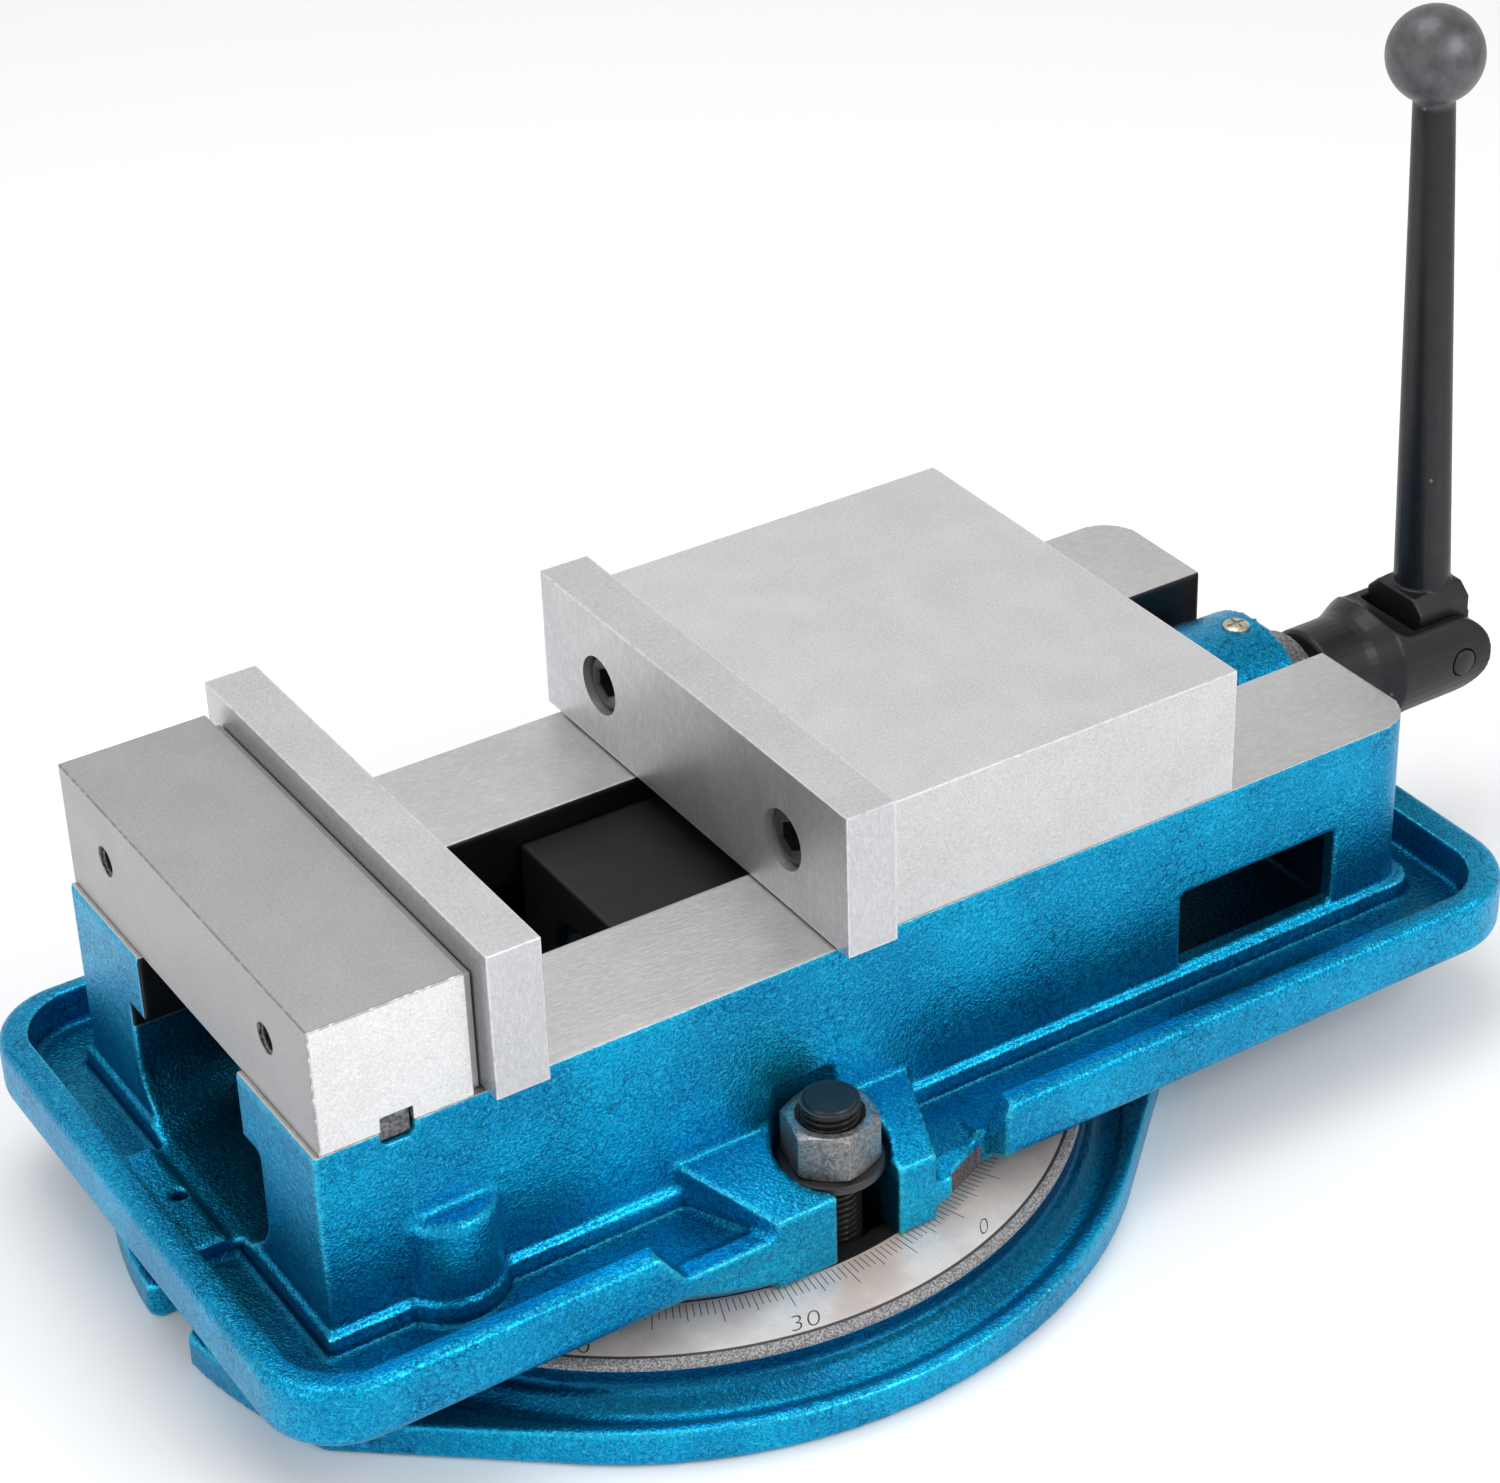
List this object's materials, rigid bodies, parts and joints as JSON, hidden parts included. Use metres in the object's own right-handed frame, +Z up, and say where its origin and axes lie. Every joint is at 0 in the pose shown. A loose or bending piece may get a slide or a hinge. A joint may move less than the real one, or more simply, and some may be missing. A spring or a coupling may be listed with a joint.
{
  "type": "milling machine vise",
  "caption": "Milling machine vise on a graduated swivel base: fixed jaw, screw-driven pull-down moving jaw on two ground rails, coolant pan and folding crank handle.",
  "frame": {"origin": "on the swivel axis, at the underside of the swivel base", "axes": "+X from the fixed jaw towards the handle, along the lead screw; +Z up; the scale's zero pad is on the -Y side"},
  "size_m": [0.4436, 0.2704, 0.2707],
  "materials": {
    "blue_paint": "hammered metallic blue paint on cast iron, machined faces bare",
    "ground_steel": "surface ground, fine straight grain",
    "jaw_steel": "hardened and ground",
    "black_oxide": "black oxide, satin",
    "dark_steel": "dark hardened steel, worn edges",
    "black_iron": "black cast iron, machined guide faces",
    "plain_steel": "turned steel",
    "yellow_zinc": "pale yellow zinc plate"
  },
  "bodies": {
    "base": {"swivel_base": "blue_paint", "centre_pivot": "plain_steel"},
    "vise": {"vise_body": "blue_paint", "thrust_washer_front": "plain_steel", "thrust_needle_cage": "yellow_zinc", "thrust_washer_rear": "plain_steel", "lubrication_screw": "yellow_zinc", "fixed_jaw_block": "ground_steel", "fixed_jaw_key": "dark_steel", "fixed_jaw_plate": "jaw_steel", "fixed_jaw_bolt_near": "black_oxide", "fixed_jaw_screw_near": "black_oxide", "fixed_jaw_bolt_far": "black_oxide", "fixed_jaw_screw_far": "black_oxide", "clamp_bolt_near": "black_oxide", "clamp_washer_near": "black_oxide", "clamp_nut_near": "dark_steel", "clamp_bolt_far": "black_oxide", "clamp_washer_far": "black_oxide", "clamp_nut_far": "dark_steel"},
    "moving_jaw": {"moving_jaw_block": "ground_steel", "moving_jaw_plate": "jaw_steel", "moving_jaw_screw_near": "black_oxide", "moving_jaw_screw_far": "black_oxide", "rear_set_screw": "black_oxide", "jaw_nut": "black_iron", "half_ball": "plain_steel"},
    "screw": {"lead_screw": "plain_steel", "screw_collar": "dark_steel", "collar_set_screw": "black_oxide", "handle_hub": "black_oxide", "handle_pin": "dark_steel"},
    "handle": {"handle_arm": "black_oxide"}
  },
  "joints": [
    {"name": "swivel", "type": "hinge", "parent": "base", "child": "vise", "pos_m": [0, 0, 0.0202], "axis": [0, 0, 1], "continuous": true},
    {"name": "screw_turn", "type": "hinge", "parent": "vise", "child": "screw", "pos_m": [0.2, 0, 0.065], "axis": [1, 0, 0], "range_deg": [-6228, 4176]},
    {"name": "jaw_slide", "type": "slide", "parent": "vise", "child": "moving_jaw", "axis": [1, 0, 0], "range_m": [-0.0866, 0.0581]},
    {"name": "handle_fold", "type": "hinge", "parent": "screw", "child": "handle", "pos_m": [0.2778, 0, 0.065], "axis": [0, 1, 0], "range_deg": [0, 93]}
  ],
  "couplings": [
    {"joint": "jaw_slide", "follows": "screw_turn", "m_per_rad": 0.00079577}
  ]
}
